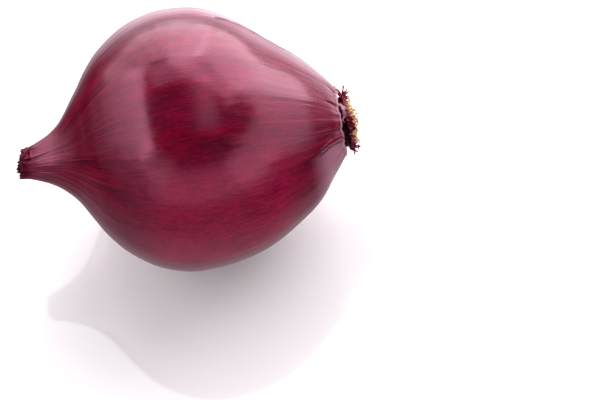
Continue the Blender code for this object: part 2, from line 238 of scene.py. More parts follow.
# Colours, as linear red, green, blue and alpha.
SKIN_TINT = (1.0, 0.38, 0.58, 1.0)
SKIN_DEEP = (0.060, 0.0001, 0.008, 1.0)
SKIN_RED = (0.116, 0.0003, 0.011, 1.0)
SKIN_MAUVE = (0.064, 0.002, 0.015, 1.0)
SKIN_BLUSH = (0.185, 0.0006, 0.024, 1.0)
SKIN_FLECK = (0.24, 0.010, 0.03, 1.0)
SKIN_LINE = (0.27, 0.025, 0.055, 1.0)
# The bare layer's own paler tone, and partly a painted reflection.
SKIN_UNDER_AND_REFLECTION = (0.24, 0.10, 0.15, 1.0)
SKIN_SHADE = (0.03, 0.0, 0.004, 1.0)
# Painted shade for the hollow of the neck's end and the inside of the rim and stub.
SKIN_INSIDE_SHADE = (0.008, 0.001, 0.002, 1.0)
SKIN_TIP = (0.050, 0.0008, 0.010, 1.0)
# Paler colour for the skin's rim, and a painted highlight on the lips' edges.
SKIN_PALE_RIM_AND_HIGHLIGHT = (0.34, 0.17, 0.20, 1.0)
LEAF_TINT = (1.0, 0.45, 0.6, 1.0)
LEAF_DEEP = (0.035, 0.0005, 0.006, 1.0)
LEAF_RED = (0.17, 0.006, 0.025, 1.0)
LEAF_DARK = (0.022, 0.0005, 0.004, 1.0)
COLLAR_TINT = (1.0, 0.75, 0.85, 1.0)
COLLAR_MAUVE = (0.24, 0.06, 0.095, 1.0)
COLLAR_PINK = (0.42, 0.17, 0.22, 1.0)
# Painted shade on the collar back in the skin's rim; it also darkens the collar's end.
COLLAR_DARK = (0.012, 0.001, 0.003, 1.0)
FLAKE_TINT = (1.0, 0.6, 0.7, 1.0)
FLAKE_DEEP = (0.08, 0.001, 0.010, 1.0)
FLAKE_CRIMSON = (0.30, 0.006, 0.035, 1.0)
FLAKE_PINK = (0.45, 0.13, 0.19, 1.0)
ROOT_GOLD = (0.66, 0.36, 0.10, 1.0)
ROOT_BROWN = (0.20, 0.07, 0.02, 1.0)
# Painted highlight on the roots.
ROOT_HIGHLIGHT = (0.85, 0.66, 0.36, 1.0)
PLATE_TAN = (0.22, 0.09, 0.035, 1.0)
PLATE_BROWN = (0.06, 0.015, 0.008, 1.0)

# The broad patch where the skin is a brighter red: its middle angle, the cosines between which it fades in,
# and where it begins and ends along the onion, in belly radii.
BLUSH_ANGLE = radians(167)
BLUSH_ACROSS = (0.78, 0.94)
BLUSH_BEGINS, BLUSH_ENDS = (-0.55, -0.25), (0.6, 0.85)

# The camera: it looks down on the onion from the photograph's side.
IMAGE_WIDTH, IMAGE_HEIGHT = 612, 408
FOCAL_PIXELS = 5950.0
SENSOR = 36.0
VIEW_AZIMUTH, VIEW_ELEVATION, VIEW_ROLL = radians(-3.0), radians(58.0), radians(8.0)
AXIS_MIDDLE_PIXEL = (184.7, 139.75)
MM_PER_PIXEL = 0.3019
CLIP_END = 50.0

# The studio. A panel has a name, the way to it, its width and height seen from the onion, and its radiance.
# The way is given in degrees from +Y towards +X and in degrees above the floor.
PANEL_DISTANCE = 1.2
PANELS = (
    ("back", 47, 23, 46, 50, 6.2),
    ("back_right", 78, 22, 16, 36, 2.4),
    ("back_2", 18, 23, 12, 49, 5.6),
    ("back_3", 7, 22, 10, 48, 4.9),
    ("back_4", -3, 22, 10, 46, 4.1),
    ("back_5", -13, 21, 10, 43, 3.3),
    ("back_6", -24, 21, 12, 40, 2.4),
    ("back_7", -38, 20, 16, 37, 1.6),
    ("back_top", 42, 57, 62, 16, 3.4),
    ("top_left", -8, 57, 38, 18, 2.2),
    ("left", -80, 47, 70, 10, 4.7),
    ("left_2", -80, 38, 70, 8, 3.9),
    ("left_3", -80, 30, 70, 8, 3.0),
    ("left_4", -76, 21, 62, 10, 1.7),
    ("left_5", -66, 10, 48, 12, 0.6),
    ("front_left", -132, 27, 36, 26, 1.0),
    ("front", 190, 16, 80, 32, 0.75),
    ("right", 118, 16, 64, 32, 1.8),
    ("high_right", 90, 70, 50, 14, 1.6),
)
# The surround's radiance above and below the horizon: two heights, as sines of the angle above the floor, and
# the radiance at each. A glow has its azimuth, the cosines where it is gone and full, and its radiance.
LIGHT_ABOVE = (0.20, 0.60, 0.6, 0.08)
LIGHT_BELOW = (-0.95, -0.4, 0.45, 0.0)
HORIZON = (-0.28, 0.02)
GLOW_ELEVATION = -10
LOW_GLOWS = ((200, 0.4, 0.86, 0.4), (26, 0.55, 0.86, 1.75), (8, 0.80, 0.92, 0.6))
LIGHT_COLOUR = (1.0, 0.88, 0.98, 1.0)
FLOOR_HALF = 6.0
FLOOR_ROUGHNESS = 0.06
FLOOR_COLOUR = (0.71, 0.68, 0.705, 1.0)
FLOOR_SPECULAR = 0.8


def fade(low, high, value):
    """Rises smoothly from 0 at low to 1 at high."""
    t = np.clip((value - low) / (high - low), 0.0, 1.0)
    return t * t * (3 - 2 * t)


def waves(terms, angle):
    return sum(height * np.cos(count * angle + phase) for height, count, phase in terms)


def random_waves(draw, kind, angle):
    """Random waves round the axis, of the kind's counts and about its height in all."""
    counts, height = kind
    share = height / sqrt(len(counts) / 2)
    terms = [(share * draw.uniform(0.6, 1.3), count, draw.uniform(0, 2 * pi)) for count in counts]
    return waves(terms, angle)


def random_line(draw, x, rates):
    """A random wavy line along x, made of sines at the given rates."""
    return sum(draw.uniform(0.3, 1.0) * np.sin(x * rate + draw.uniform(0, 6)) for rate in rates)


def at(x, radius, angle):
    """Points of the straight onion, one for each x, radius and angle."""
    x, radius, angle = np.broadcast_arrays(x, radius, angle)
    return np.stack((x, radius * np.cos(angle), radius * np.sin(angle)), axis=-1)


def bend(points):
    """The places of points of the straight onion in the real one, whose root end is set off and leans."""
    share = fade(*BEND_REACH, points[..., :1])
    lean = np.zeros_like(points)
    lean[..., 0] = -points @ ROOT_LEAN
    drop = fade(*END_DROP_REACH, points[..., :1]) * END_DROP
    return points + share * (ROOT_OFFSET + lean) + drop


def smooth_line(points, per_span):
    """Points along a smooth curve through the given ones, with per_span to each stretch between two."""
    ends = np.array([points[0], *points, points[-1]], float)
    line = []
    for before, start, end, after in zip(ends, ends[1:], ends[2:], ends[3:]):
        for step in range(per_span):
            t = step / per_span
            line.append(
                (-t + 2 * t**2 - t**3) / 2 * before
                + (2 - 5 * t**2 + 3 * t**3) / 2 * start
                + (t + 4 * t**2 - 3 * t**3) / 2 * end
                + (t**3 - t**2) / 2 * after
            )
    return np.array([*line, ends[-1]])


def towards_ends(x, at_belly, at_ends):
    """Grows from one value at the belly to the other at both ends."""
    return at_belly + (at_ends - at_belly) * np.minimum(1.0, np.abs(x) / END_DISTANCE) ** 2


def ribs(x, angle):
    """Low ribs from neck to root, strongest at the two ends."""
    return towards_ends(x, *RIB_HEIGHTS) * waves(RIB_PHASES, angle) * np.cos(RIBS * angle)


def veins(x, angle):
    """The fine veins between the ribs."""
    draw = random.Random(SEED)
    sway = VEIN_SWAY * np.sin(x / VEIN_SWAY_LENGTH + 2 * angle)
    return towards_ends(x, *VEIN_HEIGHTS) * random_waves(draw, VEIN_WAVES, angle + sway)


def shoulder(x, angle):
    """The swelling where the neck spreads into the bulb, on one side of it."""
    beside = ((1 + np.cos(angle - SHOULDER_ANGLE)) / 2) ** 2
    return SHOULDER_HEIGHT * np.exp(-(((x - SHOULDER_X) / SHOULDER_REACH) ** 2)) * beside


def neck_folds(x, angle):
    """Share by which the drying neck is folded in and out."""
    draw = random.Random(SEED + 1)
    past = np.maximum(0.0, x - NECK_X)
    folds = np.exp(-past / NECK_FOLD_REACH) * waves(NECK_FOLDS, angle)
    sway = NECK_WRINKLE_SWAY * np.sin(x / NECK_WRINKLE_SWAY_LENGTH)
    wrinkles = random_waves(draw, NECK_WRINKLES, angle + sway)
    return folds + np.exp(-past / NECK_WRINKLE_REACH) * wrinkles


def neck_cut(angle):
    """By how much the neck's end is shorter on its short side."""
    return NECK_SHORTER_BY * ((1 + np.cos(angle - NECK_SHORT_SIDE)) / 2) ** 2


def layer_edges(x):
    """The two angles at which the outermost skin ends."""
    draw = random.Random(SEED + 2)
    edges = []
    for places in (FIRST_TEAR, SECOND_TEAR):
        at_x, degrees = zip(*places)
        ragged = random_line(draw, x, TEAR_RATES)
        edges.append(np.radians(np.interp(x, at_x, degrees)) + TEAR_RAGGED * ragged)
    return edges


def tear_depths(x, angle):
    """How far the outermost skin is missing beside each tear: 0 where it is whole, and 1 where it is gone."""
    start, end = layer_edges(x)
    before = 1 - fade(start - TEAR_SOFT, start + TEAR_SOFT, angle)
    after = fade(end - TEAR_SOFT, end + TEAR_SOFT, angle)
    return before * fade(*FIRST_OPENS, x), after * fade(*SECOND_OPENS, x)


def layer_height(x, angle):
    """Height of the outermost skin, which fades away on the underside. Angles run from -90 to 270 degrees."""
    start = layer_edges(x)[0]
    after = tear_depths(x, angle)[1]
    whole = fade(*FIRST_OPENS, x) * fade(start - TEAR_SOFT, start + TEAR_SOFT, angle)
    return LAYER_STEP * (1 - fade(*LAYER_CLOSES, angle)) * np.maximum(0.0, whole - after)


def slit(x, angle, radius):
    """Depth of the short slit near the rim."""
    opened = fade(SLIT_FROM, SLIT_FROM + SLIT_OPENING, x)
    along = opened * (1 - fade(SLIT_TO - SLIT_CLOSING, SLIT_TO, x))
    off = (angle - SLIT_ANGLE) * radius + SLIT_SWAY * np.sin(x * SLIT_SWAY_RATE)
    return SLIT_DEPTH * along * np.exp(-((off / SLIT_HALF_WIDTH) ** 2))


def tear_shade(off):
    """How dark the painted shade on the layer below is beside a tear, so many millimetres off it."""
    return np.exp(-((off / TEAR_SHADE_WIDTH - 1) ** 2))


def hollow_shade(x, angle, radius):
    """How dark the painted shade of the small hollow in the neck is."""
    along = (x - HOLLOW_X) / HOLLOW_HALF_LENGTH
    across = (angle - HOLLOW_ANGLE) * radius / HOLLOW_HALF_WIDTH
    return np.exp(-(along**2) - across**2)


def skin_grid():
    """Rows of the turned skin, from the middle of the neck's end to the middle of the stub's.

    Each is (x, radius, share of relief, share of neck tear, share of rim tear).
    """
    rows = []
    for x, radius in smooth_line(NECK_END, END_ROWS_PER_SPAN)[:-1]:
        rows.append((x, radius, fade(0.5, 3.0, radius), fade(1.0, 3.5, radius), 0.0))
    for x, radius in smooth_line(SKIN_OUTLINE, ROWS_PER_SPAN):
        neck_tear = 1 - fade(NECK_X + 0.5, NECK_X + 3.0, x)
        rows.append((x, radius, 1.0, neck_tear, fade(*RIM_TEAR_REACH, x)))
    for x, radius in smooth_line(SKIN_RIM, END_ROWS_PER_SPAN):
        rows.append((x, radius, fade(*RIM_OUTSIDE, radius), 0.0, fade(*RIM_TEAR_REACH, x)))
    for x, radius in smooth_line(ROOT_STUB, END_ROWS_PER_SPAN):
        rows.append((x, radius, 0.0, 0.0, 0.0))
    return np.array(rows)


def angles(count):
    """Equal steps once round, from -90 to 270 degrees, so that no tear crosses the start."""
    return -pi / 2 + 2 * pi * np.arange(count) / count


def skin_places(x, radius, angle, relief, neck_tear, rim_tear):
    """Places on the real skin for points of the turned shape."""
    outside = np.maximum(relief, rim_tear) > 0
    height = ribs(x, angle) + veins(x, angle) + layer_height(x, angle) - slit(x, angle, radius)
    height = height + shoulder(x, angle)
    radius = radius + relief * height * fade(0.0, RELIEF_FADE_RADIUS, radius)
    folds = np.where(x < 0, neck_folds(x, angle), 0.0)
    radius = radius * (1 + folds * fade(0.0, NECK_FOLD_FADE_RADIUS, radius))
    cut_back = RIM_CUT_BACK * np.exp(-(((angle - RIM_CUT_AT) / RIM_CUT_WIDTH) ** 2))
    radius = radius + RIM_SLOPE * cut_back * rim_tear * outside
    torn_neck = neck_tear * (waves(NECK_TEARS, angle) + neck_cut(angle))
    along = torn_neck + rim_tear * (waves(RIM_TEARS, angle) - cut_back)
    points = at(x + along, radius, angle)
    points[..., 0] += fade(*RIM_UPRIGHT, x) * outside * (points @ ROOT_LEAN)
    return bend(points)


def axis_matrix():
    """Where the onion's own axis lies in the row frame."""
    return Matrix.Translation(AXIS_MIDDLE) @ Matrix.Rotation(REST_TILT, 4, "Y")


def settled(points):
    """The points in millimetres, with what would reach below the floor flattened onto it."""
    down = np.array((sin(REST_TILT), 0.0, -cos(REST_TILT)))
    below = points @ down - AXIS_MIDDLE.z / MM
    return points - np.maximum(0.0, below)[..., None] * down


class Pieces:
    """Vertices and faces gathered for one mesh, in millimetres along the axis."""

    def __init__(self):
        self.points, self.faces, self.marks = [], [], []
        self.count = 0

    def add(self, points, faces, mark=0.0):
        points = np.asarray(points, float).reshape(-1, 3)
        self.points.append(points)
        self.faces += [tuple(self.count + i for i in face) for face in faces]
        self.marks.append(np.broadcast_to(np.asarray(mark, float).reshape(-1, 1), (len(points), 1)))
        self.count += len(points)

    def mesh(self, name):
        points = settled(np.concatenate(self.points)) * MM
        made = bpy.data.meshes.new(name)
        made.from_pydata(points.tolist(), [], self.faces)
        mark = made.attributes.new("mark", "FLOAT", "POINT")
        mark.data.foreach_set("value", np.concatenate(self.marks).ravel().astype(np.float32))
        return made


def grid_faces(rows, columns, closed):
    """Quads of a grid of points, the last column joined to the first where closed."""
    faces = []
    for row in range(rows - 1):
        here, there = row * columns, (row + 1) * columns
        for column in range(columns if closed else columns - 1):
            beside = (column + 1) % columns
            faces.append((here + column, here + beside, there + beside, there + column))
    return faces


def capped_faces(rings, columns):
    """Faces of a closed shape that has a point, then so many rings of points, then a point."""
    faces = [tuple(i + 1 for i in face) for face in grid_faces(rings, columns, True)]
    last = 1 + (rings - 1) * columns
    for column in range(columns):
        beside = (column + 1) % columns
        faces.append((0, 1 + beside, 1 + column))
        faces.append((last + column, last + beside, last + columns))
    return faces


def capped_points(grid):
    """The points of a grid whose first and last row are each one point."""
    return [grid[0, 0], *grid[1:-1].reshape(-1, 3), grid[-1, 0]]


def grid_normals(points, closed):
    """Unit normals of a grid of points."""
    if closed:
        around = np.roll(points, -1, axis=1) - np.roll(points, 1, axis=1)
    else:
        around = np.gradient(points, axis=1)
    normals = np.cross(around, np.gradient(points, axis=0))
    return normals / np.maximum(1e-9, np.linalg.norm(normals, axis=-1, keepdims=True))


def sheet(pieces, points, thickness, closed, marks):
    """Adds a thin papery sheet round a grid of points: two faces and the edge between them."""
    rows, columns = points.shape[:2]
    half = grid_normals(points, closed) * np.broadcast_to(thickness, (rows, columns))[..., None] / 2
    faces = grid_faces(rows, columns, closed)
    shift = rows * columns
    all_faces = [face[::-1] for face in faces] + [tuple(i + shift for i in face) for face in faces]
    rim = [list(range(columns)), list(range((rows - 1) * columns, rows * columns))]
    if closed:
        loops = [[*rim[0], rim[0][0]], [*rim[1], rim[1][0]][::-1]]
    else:
        left = list(range(0, rows * columns, columns))
        right = list(range(columns - 1, rows * columns, columns))
        loops = [[*rim[0], *right[1:], *rim[1][::-1][1:], *left[::-1][1:]]]
    for loop in loops:
        all_faces += [(a, b, b + shift, a + shift)[::-1] for a, b in zip(loop, loop[1:])]
    both = np.concatenate(((points - half).reshape(-1, 3), (points + half).reshape(-1, 3)))
    flat_marks = np.broadcast_to(marks, (rows, columns)).ravel()
    pieces.add(both, all_faces, np.concatenate((flat_marks, flat_marks)))


def new_object(name, data):
    """An object with this data, in the scene."""
    made = bpy.data.objects.new(name, data)
    bpy.context.scene.collection.objects.link(made)
    return made


def add_piece(mesh, material, node):
    """Makes the mesh an object in its place, riding on the onion's one body."""
    fix = bmesh.new()
    fix.from_mesh(mesh)
    bmesh.ops.transform(fix, matrix=axis_matrix(), verts=fix.verts[:])
    bmesh.ops.recalc_face_normals(fix, faces=fix.faces[:])
    fix.to_mesh(mesh)
    fix.free()
    mesh.shade_smooth()
    mesh.materials.append(material)
    made = new_object(mesh.name, mesh)
    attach(made, "root")
    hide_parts(node)


def store_place(mesh, x, angle):
    """Keeps each point's place on the skin, as x over the belly's radius and the angle's cosine and sine."""
    place = np.stack((x / BELLY_RADIUS, np.cos(angle), np.sin(angle)), axis=-1).reshape(-1)
    made = mesh.attributes.new("place", "FLOAT_VECTOR", "POINT")
    made.data.foreach_set("vector", place.astype(np.float32))


def store_number(mesh, name, values):
    made = mesh.attributes.new(name, "FLOAT", "POINT")
    made.data.foreach_set("value", np.asarray(values, np.float32).ravel())


def make_skin():
    """The whole bulb in its dry skin, with its neck, rim and the stub that carries the root end."""
    rows = skin_grid()
    angle = angles(COLUMNS)[None, :]
    x, radius, relief, neck_tear, rim_tear = (rows[:, i : i + 1] for i in range(5))
    points = skin_places(x, radius, angle, relief, neck_tear, rim_tear)
    pieces = Pieces()
    pieces.add(capped_points(points), capped_faces(len(rows) - 2, COLUMNS))
    mesh = pieces.mesh("onion_skin")

    def each_point(values):
        """One value a point, from one a row or one a row and column."""
        values = np.broadcast_to(values, (len(rows), COLUMNS))
        return np.concatenate((values[:1, 0], values[1:-1].ravel(), values[-1:, 0]))

    beside_tears = fade(*UNDER_BEGINS, angle) * (1 - fade(*UNDER_ENDS, angle))
    start, end = layer_edges(x)
    first = fade(*FIRST_OPENS, x) * tear_shade((start - angle) * radius)
    second = fade(*SECOND_OPENS, x) * tear_shade((angle - end) * radius)
    marks = {
        # The bare layer below a tear: partly its own paler colour, partly a painted reflection.
        "under": np.maximum(*tear_depths(x, angle)) * beside_tears,
        # Painted shade beside the tears and in the neck's small hollow.
        "shaded": np.maximum(np.maximum(first, second), hollow_shade(x, angle, radius)),
        # Painted shade: the hollow of the neck's end and the rim's inner side and stub are darkened.
        "inside": 1 - relief,
        "rim": relief * fade(*PALE_RIM, x),
        "tip": 1 - fade(NECK_X, NECK_X + DARK_TIP_LENGTH, x),
    }
    store_place(mesh, each_point(x), each_point(angle))
    for name, values in marks.items():
        store_number(mesh, name, each_point(values))
    add_piece(mesh, skin_material(), "bulb")


def skin_radius(x):
    """Radius of the turned skin at x."""
    side = smooth_line(SKIN_OUTLINE, ROWS_PER_SPAN)
    return np.interp(x, side[:, 0], side[:, 1])


def make_lips():
    """The free edges of the outermost skin along its two tears: they stand off the layer below. One edge
    takes painted shade, the other a painted highlight.
    """
    draw = random.Random(SEED + 3)
    pieces, places, shade_edges, highlight_edges = Pieces(), [], [], []
    across = np.linspace(0.0, 1.0, LIP_COLUMNS)[None, :]
    for side, way in ((0, -1), (1, 1)):
        x = np.linspace(LIP_FROM[side], LIP_TO, LIP_ROWS)[:, None]
        ragged = 1 + LIP_RAGGED[side] * random_line(draw, x, LIP_RATES)
        reach = LIP_OVERHANG * ragged * fade(LIP_FROM[side], LIP_FROM[side] + LIP_OPENS_OVER, x)
        offset = across * (reach + LIP_ROOT) - LIP_ROOT
        radius = skin_radius(x)
        angle = layer_edges(x)[side] + way * offset / radius
        wavy = 0.5 + 0.5 * np.sin(x * 0.9 + side) * np.sin(x * 0.37 + 1)
        sunk = LIP_SINK * (1 - fade(0.0, 0.4, across))
        lift = LIP_LIFT * wavy * fade(0.45, 1.0, across) - sunk
        height = ribs(x, angle) + LAYER_STEP * fade(*FIRST_OPENS, x) + lift + LIP_CLEARANCE
        points = at(x, radius + height, angle)
        points[..., 0] += fade(*RIM_UPRIGHT, x) * (points @ ROOT_LEAN)
        points = bend(points)
        sheet(pieces, points if way > 0 else points[:, ::-1], LIP_THICKNESS, False, across)
        places.append(np.stack(np.broadcast_arrays(x, angle), axis=-1)[:, ::way].reshape(-1, 2))
        # Painted shade along the first tear's lip edge, and a painted highlight along the second's.
        edge = np.broadcast_to(fade(0.55, 0.9, across), angle.shape)[:, ::way].ravel()
        shade_edges += [edge * (way < 0)] * 2
        highlight_edges += [edge * (way > 0)] * 2
    mesh = pieces.mesh("torn_skin_edges")
    both = np.concatenate([np.concatenate((place, place)) for place in places])
    store_place(mesh, both[:, 0], both[:, 1])
    store_number(mesh, "shaded", np.concatenate(shade_edges))
    store_number(mesh, "rim", LIP_HIGHLIGHT * np.concatenate(highlight_edges))
    add_piece(mesh, skin_material(), "bulb")


def make_neck_scales():
    """The rolled, dried ends of the inner leaves that stand in the open neck."""
    draw = random.Random(SEED + 4)
    pieces = Pieces()
    for radius, end, start, sweep in NECK_SCALES:
        turn = np.linspace(0.0, 1.0, int(90 * radius / 3) + 24)[None, :]
        angle = radians(start) + radians(sweep) * turn
        tears = random_waves(draw, LEAF_TEARS, angle)
        folds = random_waves(draw, LEAF_FOLDS, angle)
        along = np.linspace(0.0, 1.0, LEAF_ROWS)[:, None]
        tip = end + tears + neck_cut(angle)
        x = LEAF_FOOT + (tip - LEAF_FOOT) * along
        spiral = radius + LEAF_SPIRAL * (turn - 0.5) + folds * along
        flare = LEAF_FLARE * fade(0.6, 1.0, along) * np.cos(angle - LEAF_FLARES_AT)
        points = at(x, spiral + flare, angle)
        sheet(pieces, points, LEAF_THICKNESS, False, along)
    flap, along = neck_flap()
    sheet(pieces, flap, LEAF_THICKNESS / 2, False, 0.9 * along)
    add_piece(pieces.mesh("neck_scales"), neck_scale_material(), "bulb")


def neck_flap():
    """A grid over a dried scrap of leaf that lies on the neck's end, with torn edges all round."""
    draw = random.Random(SEED + 10)
    start, end = FLAP_ANGLES
    angle = np.linspace(start, end, FLAP_COLUMNS)[None, :]
    along = np.linspace(0.0, 1.0, FLAP_ROWS)[:, None]
    corner = 1 - np.sin(pi * (angle - start) / (end - start)) ** 0.4
    foot = FLAP_FOOT - FLAP_FOOT_ROUNDING * corner + random_waves(draw, FLAP_FOOT_TEARS, angle)
    tip = FLAP_TIP + FLAP_TIP_ROUNDING * corner + random_waves(draw, FLAP_TIP_TEARS, angle)
    tip = tip + neck_cut(angle)
    x = foot + (tip - foot) * along
    drawn_in = (skin_radius(np.maximum(x, SKIN_OUTLINE[0][0])) + ribs(x, angle)) * (1 + neck_folds(x, angle))
    lift = FLAP_LIFT + FLAP_TIP_LIFT * fade(0.7, 1.0, along)
    crumple = random_waves(draw, FLAP_CRUMPLES, angle + 0.25 * np.sin(x * 1.3))
    return at(x, drawn_in + lift + crumple, angle), along


def make_collar():
    """The smooth dry scale that wraps the root end, inside the skin's rim."""
    draw = random.Random(SEED + 5)
    angle = angles(COLLAR_COLUMNS)[None, :]
    along = np.linspace(0.0, 1.0, COLLAR_ROWS)[:, None]
    longest = np.exp(-(((angle - COLLAR_LONGEST_AT) / COLLAR_LONG_WIDTH) ** 2))
    front = COLLAR_SHORT + (COLLAR_LONG - COLLAR_SHORT) * longest
    front = front + random_waves(draw, COLLAR_TEARS, angle) * (1 - 0.7 * longest)
    x = COLLAR_BACK + (front - COLLAR_BACK) * along
    radius = COLLAR_RADIUS + COLLAR_FLARE * longest * fade(0.0, 0.6, along)
    radius = radius + random_waves(draw, COLLAR_FOLDS, angle)
    radius = radius - COLLAR_DRAWN_IN * fade(0.7, 1.0, along)
    pieces = Pieces()
    # Painted shade: dark all round, back in the skin's rim, but for a band on the longest part; darker
    # towards the end too.
    dark = np.maximum(1 - 1.3 * longest, 1 - fade(*COLLAR_PALE_FROM, along))
    sheet(pieces, bend(at(x, radius, angle)), COLLAR_THICKNESS, True, np.maximum(along, dark))
    add_piece(pieces.mesh("inner_collar"), collar_material(), "scale_frill")


def make_frill_base():
    """The uneven ring of torn skin that the scale ends stand on."""
    draw = random.Random(SEED + 6)
    angle = angles(FRILL_COLUMNS)[None, :]
    section = smooth_line(FRILL_SECTION, 4)
    x, radius = section[:, :1], section[:, 1:]
    front = fade(FRILL_BACK, FRILL_FRONT, x)
    outer = fade(FRILL_INNER, FRILL_OUTER, radius)
    ragged = random_waves(draw, FRILL_TEARS, angle)
    uneven = random_waves(draw, FRILL_FOLDS, angle)
    points = bend(at(x + front * ragged, radius + outer * uneven, angle))
    pieces = Pieces()
    count = len(section) - 1
    faces = grid_faces(count, FRILL_COLUMNS, True)
    shut = (count - 1) * FRILL_COLUMNS
    for column in range(FRILL_COLUMNS):
        beside = (column + 1) % FRILL_COLUMNS
        faces.append((shut + column, shut + beside, beside, column))
    pieces.add(points[:-1], faces, FRILL_MARK)
    return pieces


def flake(pieces, draw, angle, lean, length, width):
    """One torn scale end: a thin curled blade with an uneven outline that tapers to a ragged point."""
    along = np.linspace(0.0, 1.0, FLAKE_ROWS)[:, None]
    across = np.linspace(-1.0, 1.0, FLAKE_COLUMNS)[None, :]
    curl, slant = draw.uniform(*FLAKE_CURL), draw.uniform(*FLAKE_SLANT)
    taper = (1 - along) ** draw.uniform(*FLAKE_TAPER)
    notches = np.sin(along * draw.uniform(*FLAKE_NOTCH_RATE) + draw.uniform(0, 6)) * (along > 0.1)
    half = (width * taper * (1 + FLAKE_NOTCH * notches) + FLAKE_TIP_WIDTH) / 2
    turn = lean + curl * along
    step = length / (FLAKE_ROWS - 1)
    forward = np.cumsum(np.cos(turn), axis=0) * step
    outward = np.cumsum(np.sin(turn), axis=0) * step
    side = half * across + slant * length * along**2
    ripple = FLAKE_RIPPLE * np.sin(along * 7 + across * 2)
    cup = draw.uniform(*FLAKE_CUP) * half * (across**2) + ripple
    teeth = FLAKE_TOOTH * draw.uniform(0.3, 1.0) * np.cos(across * draw.uniform(*FLAKE_TOOTH_RATE)) * along
    x = FLAKE_FOOT_X + forward + teeth - np.sin(turn) * cup
    out = FLAKE_FOOT_RADIUS + draw.uniform(*FLAKE_FOOT_SHIFT) + outward + np.cos(turn) * cup
    across_way = np.array((0.0, -sin(angle), cos(angle)))
    out_way = np.array((0.0, cos(angle), sin(angle)))
    points = out[..., None] * out_way + side[..., None] * across_way
    points[..., 0] = x
    sheet(pieces, bend(points), FLAKE_THICKNESS, False, along)


def make_frill():
    """The torn dry scale ends round the root end."""
    draw = random.Random(SEED + 7)
    pieces = make_frill_base()
    for low, high, count, leans, lengths, widths in FLAKE_GROUPS:
        for i in range(count):
            angle = radians(low + (high - low) * (i + draw.uniform(0.1, 0.9)) / count)
            lean = radians(draw.uniform(*leans))
            flake(pieces, draw, angle, lean, draw.uniform(*lengths), draw.uniform(*widths))
    add_piece(pieces.mesh("torn_scale_ends"), flake_material(), "scale_frill")


def make_plate():
    """The low domed basal plate, rough with the stubs of old roots."""
    section = smooth_line(PLATE_SECTION, 6)
    angle = angles(PLATE_COLUMNS)[None, :]
    x, radius = section[:, :1], section[:, 1:]
    lumps = PLATE_LUMP * np.sin(radius * 5.1 + 3 * angle) * np.cos(7 * angle + radius * 2)
    lumps = lumps * fade(0.0, 2.0, radius)
    points = bend(at(x + lumps * (x > PLATE_BACK + 0.1), radius, angle))
    pieces = Pieces()
    pieces.add(capped_points(points), capped_faces(len(section) - 2, PLATE_COLUMNS))
    material = root_material("basal_plate", PLATE_TAN, PLATE_BROWN)
    add_piece(pieces.mesh("basal_plate"), material, "roots")


def over_plate(point):
    """The point, drawn in towards the axis so that it never goes past ROOT_REACH."""
    share = (1 + (hypot(point[1], point[2]) / ROOT_REACH) ** 6) ** (-1 / 6)
    return np.array((point[0], point[1] * share, point[2] * share))


def root_path(draw, start):
    """A root's middle line: out of the plate, then over to one side in a curl."""
    heading = draw.uniform(0, 2 * pi)
    turn = draw.choice((-1, 1)) * draw.uniform(*ROOT_TURN)
    rise = radians(draw.uniform(*ROOT_RISE))
    droop = radians(draw.uniform(*ROOT_DROOP))
    step = draw.uniform(*ROOT_STEP_LENGTH)
    point, path = start, [start]
    for _ in range(ROOT_STEPS):
        way = (sin(rise), cos(rise) * cos(heading), cos(rise) * sin(heading))
        point = point + step * np.array(way)
        point[0] = max(point[0], PLATE_RIM + 0.1)
        path.append(over_plate(point))
        heading += turn + draw.uniform(*ROOT_WOBBLE)
        rise -= droop
    return np.array(path)


def make_roots():
    """The dried roots, curled over the plate."""
    draw = random.Random(SEED + 9)
    golden_angle = pi * (3 - sqrt(5))
    pieces = Pieces()
    for i in range(ROOTS):
        out = ROOT_SPREAD * sqrt((i + 0.5) / ROOTS)
        level = PLATE_CROWN - (PLATE_CROWN - PLATE_RIM) * (out / PLATE_RADIUS) ** 2
        path = root_path(draw, at(level - ROOT_SINK, out, i * golden_angle))
        path = bend(smooth_line(path, ROOT_SMOOTHING))
        tube(pieces, path, draw.uniform(*ROOT_THICKNESS) / 2, draw.random())
    material = root_material("root_fibres", ROOT_GOLD, ROOT_BROWN)
    add_piece(pieces.mesh("root_fibres"), material, "roots")


def tube(pieces, path, radius, mark):
    """A thin closed tube along the path, tapering to its tip."""
    along = np.gradient(path, axis=0)
    along /= np.linalg.norm(along, axis=1, keepdims=True)
    side = np.cross(along, (0.31, 0.87, -0.38))
    side /= np.linalg.norm(side, axis=1, keepdims=True)
    other = np.cross(along, side)
    share = np.linspace(*ROOT_TAPER, len(path))[:, None, None]
    spokes = 2 * pi * np.arange(ROOT_SIDES) / ROOT_SIDES
    ring = side[:, None] * np.cos(spokes)[None, :, None] + other[:, None] * np.sin(spokes)[None, :, None]
    points = path[:, None] + radius * share * ring
    faces = grid_faces(len(path), ROOT_SIDES, True)
    last = (len(path) - 1) * ROOT_SIDES
    faces.append(tuple(range(ROOT_SIDES))[::-1])
    faces.append(tuple(range(last, last + ROOT_SIDES)))
    pieces.add(points, faces, mark)


def add_node(tree, kind, inputs=None, **settings):
    """A new node with its settings made and its inputs set, or linked where a socket is given."""
    made = tree.nodes.new("ShaderNode" + kind)
    for name, value in settings.items():
        setattr(made, name, value)
    for name, value in (inputs or {}).items():
        socket = made.inputs[name]
        if isinstance(value, bpy.types.NodeSocket):
            tree.links.new(value, socket)
        else:
            socket.default_value = value
    return made


def attribute(tree, name, output="Fac"):
    """What the points of the mesh keep under this name."""
    return add_node(tree, "Attribute", attribute_name=name).outputs[output]


def object_place(tree):
    return add_node(tree, "TexCoord").outputs["Object"]


